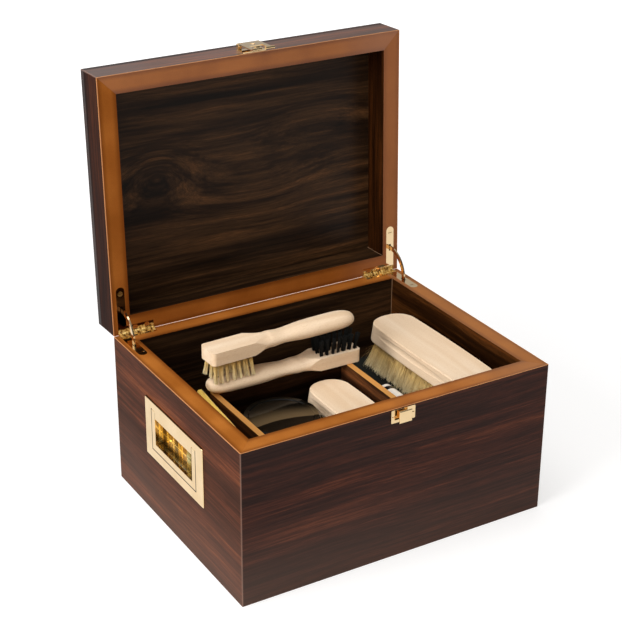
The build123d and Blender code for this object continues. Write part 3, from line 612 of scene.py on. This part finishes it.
# Knots of the lid's inside: x, y, reach along, reach across, push.
lid_knots = (
    (-0.099, -0.012, 0.032, 0.024, 0.031),
    (0.010, 0.010, 0.070, 0.030, -0.012),
    (0.085, -0.040, 0.060, 0.022, 0.010),
)
dress(
    ("lid_top_panel",),
    board_material("lid_top_board", "x", True, 3.1, lid_knots, gloss=0.11, outer_tint=painted_dimming),
)
# The floor and the cross divider are tinted darker as painted shade, and the dividers and bearers lighter as
# painted light.
dress(("base_panel", "inner_floor"), inside_wood("floor_wood", "x", shadowed))
dress(
    ("floor_bearers", "divider_left", "divider_right"),
    inside_wood("divider_wood", "y", walnut_painted_light),
)
dress(("divider_cross",), inside_wood("cross_divider_wood", "x", shadowed))
dress(("lower_applicator_handle", "upper_applicator_handle"), beech("beech_handles", "x"))
dress(("polishing_brush_back", "small_brush_back"), beech("beech_backs", "y"))

brass_nodes = [
    name
    for name, node in nodes.items()
    if name.startswith(("hinge", "catch", "latch", "handle", "bail", "stay"))
]
dress(brass_nodes, polished_brass("polished_brass"))
dress(
    ("handle_frame_left", "handle_frame_right", "bail_left", "bail_right"),
    polished_brass("handle_brass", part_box("bail_left"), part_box("handle_frame_left")[1].z),
)
dress(("handle_cup_left", "handle_cup_right"), pressed_brass("pressed_brass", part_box("handle_cup_left")))
hinge_nodes = [name for name in brass_nodes if name.startswith(("hinge_leaf", "hinge_pins"))]
dress(hinge_nodes, hinge_brass("hinge_brass", srgb(238, 210, 166)))
# The left lid leaf's plates are painted dark brass: a painted dark reflection.
dress(("hinge_leaf_lid_left",), hinge_brass("hinge_brass_painted_dark", srgb(84, 58, 34)))
dress(("lower_tin_lid", "upper_tin_lid"), lacquered_tin("black_lacquer"))
dress(("lower_tin_base", "upper_tin_base"), tinplate("tinplate"))
dress(("lower_tin_polish", "upper_tin_polish"), wax("black_wax"))
bottle_band = 0.0064
bottle_band_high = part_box("bottle_cap")[1].y - 0.0050
dress(
    ("bottle_body", "bottle_cap"),
    bottle_plastic("bottle_plastic", bottle_band_high - bottle_band, bottle_band_high),
)


# ---------------------------------------------------------------- bristles
def blades(roots, tips, sway, thickness, tones):
    """Mesh arrays of three-sided strands that run from roots to tips and bow by sway in between."""
    levels = (0.0, 0.35, 0.7, 1.0)
    taper = 0.45
    count = len(roots)
    direction = tips - roots
    direction /= np.linalg.norm(direction, axis=1, keepdims=True)
    helper = np.where(np.abs(direction[:, [2]]) > 0.9, (1.0, 0.0, 0.0), (0.0, 0.0, 1.0))
    across = np.cross(direction, helper)
    across /= np.linalg.norm(across, axis=1, keepdims=True)
    beside = np.cross(direction, across)
    rings, runs = [], []
    for level in levels:
        middle = roots + (tips - roots) * level + sway * (level * (1.0 - level) * 4.0)
        radius = thickness * (1.0 - taper * level)
        for corner in range(3):
            angle = corner * 2 * pi / 3
            rings.append(middle + (across * cos(angle) + beside * sin(angle)) * radius[:, None])
            runs.append(np.full(count, level))
    points = np.stack(rings, axis=1).reshape(-1, 3)
    run = np.stack(runs, axis=1).reshape(-1)
    tone = np.repeat(tones, len(levels) * 3)
    faces = []
    for level in range(len(levels) - 1):
        for corner in range(3):
            after = (corner + 1) % 3
            low = level * 3
            faces.append((low + corner, low + after, low + 3 + after, low + 3 + corner))
    quads = np.array(faces)
    starts = np.arange(count) * len(levels) * 3
    quads = (quads[None, :, :] + starts[:, None, None]).reshape(-1, 4)
    last = (len(levels) - 1) * 3
    caps = starts[:, None] + np.array((last, last + 1, last + 2))
    return points, run, tone, quads, caps


def strand_object(name, parts, material):
    """One mesh object from several sets of blades, with tone and run kept per point."""
    points, attribute, faces = [], [], []
    offset = 0
    for place, run, tone, quads, caps in parts:
        points.append(place)
        attribute.append(np.stack([tone, run, np.zeros_like(run)], axis=1))
        faces += (quads + offset).tolist() + (caps + offset).tolist()
        offset += len(place)
    mesh = bpy.data.meshes.new(name)
    mesh.from_pydata(np.concatenate(points).tolist(), [], faces)
    layer = mesh.attributes.new("strand", "FLOAT_VECTOR", "POINT")
    layer.data.foreach_set("vector", np.concatenate(attribute).astype(np.float32).ravel())
    mesh.materials.append(material)
    made = bpy.data.objects.new(name, mesh)
    bpy.context.scene.collection.objects.link(made)
    return made


def tuft(rng, root, tip, root_radius, tip_radius, count, thickness, frizz, locks=8):
    """Strands of one tuft, gathered in a few locks: packed at the root, fanned at the tip.

    A strand shares most of its place, length, bow and tone with its lock."""
    of_lock = 0.65
    lock_spread, strand_spread = 0.8, 0.2  # of the root radius
    lock = np.arange(count) % locks
    angle = rng.uniform(0, 2 * pi, locks)
    reach = np.sqrt(rng.uniform(0, 1, locks))
    disc = np.stack([np.cos(angle) * reach, np.sin(angle) * reach], axis=1)[lock]
    roots = np.tile(root, (count, 1))
    tips = np.tile(tip, (count, 1))
    roots[:, :2] += disc * root_radius * lock_spread + rng.normal(0, root_radius * strand_spread, (count, 2))
    tips[:, :2] += disc * tip_radius + rng.normal(0, frizz * 0.5, (locks, 2))[lock]
    tips[:, :2] += rng.normal(0, frizz, (count, 2))
    length = abs(tip[2] - root[2])
    direction = 1.0 if tip[2] > root[2] else -1.0
    shortfall = np.abs(rng.normal(0, 0.02, locks))[lock] + np.abs(rng.normal(0, 0.03, count))
    tips[:, 2] -= direction * shortfall * length
    sway = rng.normal(0, frizz * 0.5, (locks, 3))[lock] + rng.normal(0, frizz * 0.2, (count, 3))
    sway[:, 2] = 0
    tones = of_lock * rng.uniform(0, 1, locks)[lock] + (1 - of_lock) * rng.uniform(0, 1, count)
    return blades(roots, tips, sway, thickness * rng.uniform(0.75, 1.2, count), tones)


blond_hair = hair("blond_hair", srgb(166, 122, 58), srgb(255, 226, 150), srgb(255, 246, 206), 0.75)
black_hair = hair("black_hair", srgb(8, 9, 10), srgb(20, 22, 23), srgb(44, 48, 50), 0.6)

tuft_radius = 0.0019
tuft_columns, tuft_rows = 7, 3
fan_along, fan_across = 0.003, 0.005  # how much further apart the outer tufts are at their tips
upper_yaw = radians(2.0)
front_hang = 0.0025


def applicator_bristles(name, node, body, material, seed):
    """Three rows of separate tufts; the front row of the upper brush hangs past the handle below."""
    rng = np.random.default_rng(seed)
    low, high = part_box(node)
    points_down = name.startswith("upper")
    root_z, tip_z = (high.z, low.z) if points_down else (low.z, high.z)
    slant = tan(upper_yaw) if points_down else 0.0
    middle = (low + high) / 2
    half_row = (high.y - low.y - slant * (high.x - low.x)) / 2
    edge = 0.0022
    parts = []
    for column in range(tuft_columns):
        x = low.x + edge + (high.x - low.x - 2 * edge) * column / (tuft_columns - 1)
        for row in range(tuft_rows):
            y = middle.y + slant * (x - middle.x) + (half_row - edge) * (2 * row / (tuft_rows - 1) - 1)
            spread = np.array([column / (tuft_columns - 1) - 0.5, row / (tuft_rows - 1) - 0.5])
            root = np.array([x, y, root_z])
            front = front_hang if points_down and row == 0 else 0.0
            tip_x, tip_y = x + spread[0] * fan_along, y + spread[1] * fan_across - front / 2
            tip = np.array([tip_x, tip_y, tip_z - front])
            parts.append(
                tuft(rng, root, tip, tuft_radius, 0.0024, count=260, thickness=0.00014, frizz=0.0004)
            )
    made = strand_object(name, parts, material)
    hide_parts(node)
    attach(made, body)


def stray_hairs(rng, root, count):
    """A few fine hairs that stick out to the left of root."""
    roots = root + rng.uniform(-0.004, 0.004, (count, 3)) * (0.3, 1.0, 0.3)
    ranges = ((-0.020, -0.010), (-0.002, 0.008), (-0.014, -0.006))
    reach = np.stack([rng.uniform(low, high, count) for low, high in ranges], axis=1)
    bow = np.stack([np.full(count, -0.003), rng.normal(0, 0.001, count), np.full(count, 0.001)], axis=1)
    return blades(roots, roots + reach, bow, np.full(count, 0.00006), np.ones(count))


def brush_bristles(name, node, back, body, count, seed, strays=0):
    """Pile of a polishing brush: staggered tufts that lean outwards near the edge.

    A few stray hairs stick out of its far left corner."""
    rng = np.random.default_rng(seed)
    low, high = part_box(node)
    back_low, back_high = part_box(back)
    middle = (back_low + back_high) / 2
    inset, margin = 0.0058, 0.0018
    edge_share, flare_share = 0.72, 0.75
    half = Vector(((back_high.x - back_low.x) / 2 - inset, (back_high.y - back_low.y) / 2 - inset, 0))
    flare = Vector(((high.x - low.x) / 2 - half.x, (high.y - low.y) / 2 - half.y, 0))
    corner = min(half.x, 0.018)
    pitch = 0.0047
    rows = int(2 * half.x / pitch) + 1
    columns = int(2 * half.y / pitch) + 1
    parts = []
    for row in range(rows):
        for column in range(columns + 1):
            x = -half.x + margin + 2 * (half.x - margin) * row / (rows - 1)
            y = -half.y + margin + (column + 0.5 * (row % 2)) * pitch
            if y > half.y - margin:
                continue
            over_x = abs(x) - (half.x - corner)
            over_y = abs(y) - (half.y - corner)
            if over_x > 0 and over_y > 0 and (over_x**2 + over_y**2) ** 0.5 > corner:
                continue
            rim_x, rim_y = x / half.x, y / half.y
            root = np.array([middle.x + x, middle.y + y, high.z])
            out_x = flare.x * rim_x * abs(rim_x) * flare_share
            out_y = flare.y * rim_y * abs(rim_y) * flare_share
            tip = np.array([middle.x + x + out_x, middle.y + y + out_y, low.z])
            near_edge = max(abs(rim_x), abs(rim_y)) > edge_share
            strands = count if near_edge else count // 2
            parts.append(
                tuft(rng, root, tip, tuft_radius, 0.0030, strands, thickness=0.00021, frizz=0.0018, locks=9)
            )
    if strays:
        root = np.array([middle.x - half.x, middle.y + half.y - corner * 0.8, high.z - 0.002])
        parts.append(stray_hairs(rng, root, strays))
    made = strand_object(name, parts, blond_hair)
    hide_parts(node)
    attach(made, body)


applicator_bristles(
    "lower_applicator_hair",
    "lower_applicator_bristles",
    "lower_applicator",
    black_hair,
    seed=11,
)
applicator_bristles(
    "upper_applicator_hair",
    "upper_applicator_bristles",
    "upper_applicator",
    blond_hair,
    seed=12,
)
brush_bristles(
    "polishing_brush_hair",
    "polishing_brush_bristles",
    "polishing_brush_back",
    "polishing_brush",
    count=72,
    seed=13,
    strays=8,
)
brush_bristles(
    "small_brush_hair",
    "small_brush_bristles",
    "small_brush_back",
    "small_brush",
    count=50,
    seed=14,
)


# ---------------------------------------------------------------- folded cloths
straight_steps, turn_steps, half_steps = 12, 6, 26  # along a layer, round a fold, from fold to hem
headroom = 0.35  # of one layer's pitch, left over the top layer
ripple_height = 0.0002


def folded_line(layer_length, layers, pitch):
    """Points (run, rise) of a strip folded back and forth, with round turns, and its length."""
    radius = pitch / 2
    straight = layer_length - 2 * radius
    line = []
    for layer in range(layers):
        forward = layer % 2 == 0
        for step in range(straight_steps + 1):
            part = step / straight_steps
            run = radius + straight * (part if forward else 1 - part)
            line.append((run, layer * pitch))
        if layer == layers - 1:
            break
        side, outward = (radius + straight, radius) if forward else (radius, -radius)
        for step in range(1, turn_steps):
            angle = pi * step / turn_steps
            line.append((side + outward * sin(angle), layer * pitch + radius * (1 - cos(angle))))
    line = np.array(line)
    length = float(np.linalg.norm(np.diff(line, axis=0), axis=1).sum())
    return line, length


def folded_cloth(name, node, body, run_axis, stack_axis, layers, ply_gap, shape, material, seed):
    """Cloth folded in half, then back and forth, as one sheet that fills the CAD solid's space.

    run_axis is the axis that the layers run along, stack_axis the one that they pile up on."""
    rng = np.random.default_rng(seed)
    low, high = (np.array(corner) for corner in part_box(node))
    fold_axis = ({0, 1, 2} - {run_axis, stack_axis}).pop()
    size = high - low
    pitch = (size[stack_axis] - ply_gap) / (layers - 1 + headroom)
    line, length = folded_line(size[run_axis], layers, pitch)
    tangent = np.gradient(line, axis=0)
    tangent /= np.linalg.norm(tangent, axis=1, keepdims=True)
    normal = np.stack([-tangent[:, 1], tangent[:, 0]], axis=1)
    half = size[fold_axis] - ply_gap
    across, ply = [], []
    for step in range(half_steps + 1):
        across.append(half * (1 - step / half_steps))
        ply.append(1.0)
    for step in range(1, turn_steps):
        angle = pi * step / turn_steps
        across.append(-sin(angle) * ply_gap / 2)
        ply.append(cos(angle))
    for step in range(half_steps + 1):
        across.append(half * step / half_steps)
        ply.append(-1.0)
    across, ply = np.array(across) + ply_gap / 2, np.array(ply) * ply_gap / 2
    waves = rng.uniform(0, 2 * pi, 4)
    points = np.zeros((len(line), len(across), 3))
    points[:, :, fold_axis] = low[fold_axis] + across[None, :] + ply_gap * 0.1
    points[:, :, run_axis] = low[run_axis] + line[:, [0]] + normal[:, [0]] * ply[None, :]
    rise = line[:, [1]] + normal[:, [1]] * ply[None, :] + ply_gap / 2
    points[:, :, stack_axis] = low[stack_axis] + rise
    ripple = np.sin(points[:, :, fold_axis] * 90 + waves[0]) + np.sin(points[:, :, run_axis] * 130 + waves[1])
    points[:, :, stack_axis] += ripple * ripple_height
    points = shape(points, low, high)
    points = np.clip(points, low, high)
    rows, columns = points.shape[:2]
    index = np.arange(rows * columns).reshape(rows, columns)
    quads = np.stack([index[:-1, :-1], index[:-1, 1:], index[1:, 1:], index[1:, :-1]], axis=-1).reshape(-1, 4)
    mesh = bpy.data.meshes.new(name)
    mesh.from_pydata(points.reshape(-1, 3).tolist(), [], quads.tolist())
    mesh.polygons.foreach_set("use_smooth", [True] * len(quads))
    mesh.materials.append(material)
    made = bpy.data.objects.new(name, mesh)
    bpy.context.scene.collection.objects.link(made)
    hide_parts(node)
    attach(made, body)


def leaning(points, low, high):
    """The yellow cloth stands on edge against the side board, and thins and sags to the front."""
    back_share, thinning, sag, length_share = 1.09, 0.44, 0.03, 0.957
    x, y, z = 0, 1, 2
    to_front = 1 - (points[:, :, y] - low[y]) / (high[y] - low[y])
    points[:, :, x] = low[x] + (points[:, :, x] - low[x]) * (back_share - thinning * to_front)
    points[:, :, z] = low[z] + (points[:, :, z] - low[z]) * (1 - sag * to_front)
    points[:, :, y] = low[y] + (points[:, :, y] - low[y]) * length_share
    return points


def as_folded(points, low, high):
    """The dark cloth lies as it was folded."""
    return points


yellow_flannel = flannel(
    "yellow_flannel",
    colour=srgb(255, 216, 98),
    shade=srgb(252, 202, 76),
    nap=srgb(255, 230, 136),
    sheen=0.3,
)
dark_flannel = flannel(
    "dark_flannel",
    colour=srgb(13, 16, 13),
    shade=srgb(9, 11, 9),
    nap=srgb(24, 28, 24),
    sheen=0.05,
)
folded_cloth(
    "yellow_duster",
    node="yellow_cloth",
    body="yellow_cloth",
    run_axis=2,
    stack_axis=0,
    layers=6,
    ply_gap=0.0012,
    shape=leaning,
    material=yellow_flannel,
    seed=21,
)
folded_cloth(
    "dark_duster",
    node="dark_cloth",
    body="dark_cloth",
    run_axis=0,
    stack_axis=2,
    layers=6,
    ply_gap=0.0014,
    shape=as_folded,
    material=dark_flannel,
    seed=22,
)


# ---------------------------------------------------------------- studio
def area_light(name, place, target, size, power, colour=(1, 1, 1)):
    data = bpy.data.lights.new(name, "AREA")
    data.shape = "RECTANGLE"
    data.size, data.size_y = size
    data.energy = power
    data.color = colour
    made = bpy.data.objects.new(name, data)
    made.location = place
    made.rotation_euler = (Vector(target) - Vector(place)).to_track_quat("-Z", "Y").to_euler()
    bpy.context.scene.collection.objects.link(made)


def white_floor():
    """Pale floor that keeps the shadow and meets the white background without a line.

    The glow shows to the camera and in reflections; to other light the floor is plain pale paint."""
    glow_near, glow_far, glow_in_gloss = 0.545, 0.95, 0.42
    sh = Shader("studio_floor")
    rays = sh.node("ShaderNodeLightPath").outputs
    away = sh.node("ShaderNodeVectorMath", {0: sh.position()}, operation="LENGTH").outputs["Value"]
    seen = sh.remap(sh.step(away, 0.4, 1.6), 0.0, 1.0, glow_near, glow_far)
    to_camera = sh.times(rays["Is Camera Ray"], seen)
    strength = sh.add(to_camera, sh.times(rays["Is Glossy Ray"], glow_in_gloss))
    direct = sh.math("MAXIMUM", rays["Is Camera Ray"], rays["Is Glossy Ray"])
    paint = sh.mix(direct, (0.80, 0.79, 0.78, 1.0), (0.56, 0.56, 0.56, 1.0))
    diffuse = sh.node("ShaderNodeBsdfDiffuse", {"Color": paint})
    glow = sh.node("ShaderNodeEmission", {"Color": (1.0, 1.0, 1.0, 1.0), "Strength": strength})
    both = sh.node("ShaderNodeAddShader", {0: diffuse.outputs[0], 1: glow.outputs[0]})
    sh.node("ShaderNodeOutputMaterial", {0: both.outputs[0]})
    half = 3.0
    corners = [(-half, -half, 0), (half, -half, 0), (half, half, 0), (-half, half, 0)]
    mesh = bpy.data.meshes.new("studio_floor")
    mesh.from_pydata(corners, [], [(0, 1, 2, 3)])
    mesh.materials.append(sh.material)
    made = bpy.data.objects.new("studio_floor", mesh)
    bpy.context.scene.collection.objects.link(made)


def studio_world():
    """White to the camera; as a light and in reflections, bright from the left and dim from the front."""
    world = bpy.data.worlds.new("studio")
    bpy.context.scene.world = world
    sh = Shader("studio", world)
    rays = sh.node("ShaderNodeLightPath").outputs
    direction = sh.node("ShaderNodeTexCoord").outputs["Generated"]
    x, y, z = sh.split(direction)
    leftward = sh.minus(sh.times(y, 0.45), x)
    facing = sh.add(leftward, sh.times(z, 0.5))
    side = sh.step(facing, -0.5, 0.7)
    soft = sh.remap(side, 0.0, 1.0, 0.16, 0.50)
    gloss = sh.remap(side, 0.0, 1.0, 0.10, 1.0)
    strength = sh.node("ShaderNodeMix", {0: rays["Is Glossy Ray"], 2: soft, 3: gloss}).outputs[0]
    strength = sh.node("ShaderNodeMix", {0: rays["Is Camera Ray"], 2: strength, 3: 1.0}).outputs[0]
    seen = sh.node("ShaderNodeBackground", {"Color": (1.0, 1.0, 1.0, 1.0), "Strength": strength})
    sh.node("ShaderNodeOutputWorld", {0: seen.outputs[0]})


white_floor()
studio_world()
middle_point = (0.0, 0.0, 0.15)
area_light("key", (-2.0, -0.35, 1.15), middle_point, size=(1.2, 1.2), power=36.0)
area_light("overhead", (-0.2, 0.1, 2.2), middle_point, size=(1.8, 1.8), power=22.0)
area_light("fill", (-0.7, -2.0, 1.1), middle_point, size=(1.4, 1.4), power=14.0, colour=(1.0, 0.84, 0.66))

# ---------------------------------------------------------------- camera, fitted to the photograph
image_width = 622.0
sensor_width = 36.0
focal_pixels = 1576.70
camera_place = Vector((-0.72556, -1.18320, 0.86081))
camera_right = Vector((0.86004, -0.51020, 0.00528))
camera_up = Vector((0.21393, 0.36998, 0.90407))
camera_back = -Vector((0.46321, 0.77641, -0.42734))

camera_data = bpy.data.cameras.new("camera")
camera_data.sensor_width = sensor_width
camera_data.lens = focal_pixels * sensor_width / image_width
camera = bpy.data.objects.new("camera", camera_data)
axes = Matrix((camera_right, camera_up, camera_back)).transposed().to_4x4()
camera.matrix_world = Matrix.Translation(camera_place) @ axes
bpy.context.scene.collection.objects.link(camera)
bpy.context.scene.camera = camera
bpy.context.scene.view_settings.view_transform = "Standard"

bpy.context.view_layer.update()
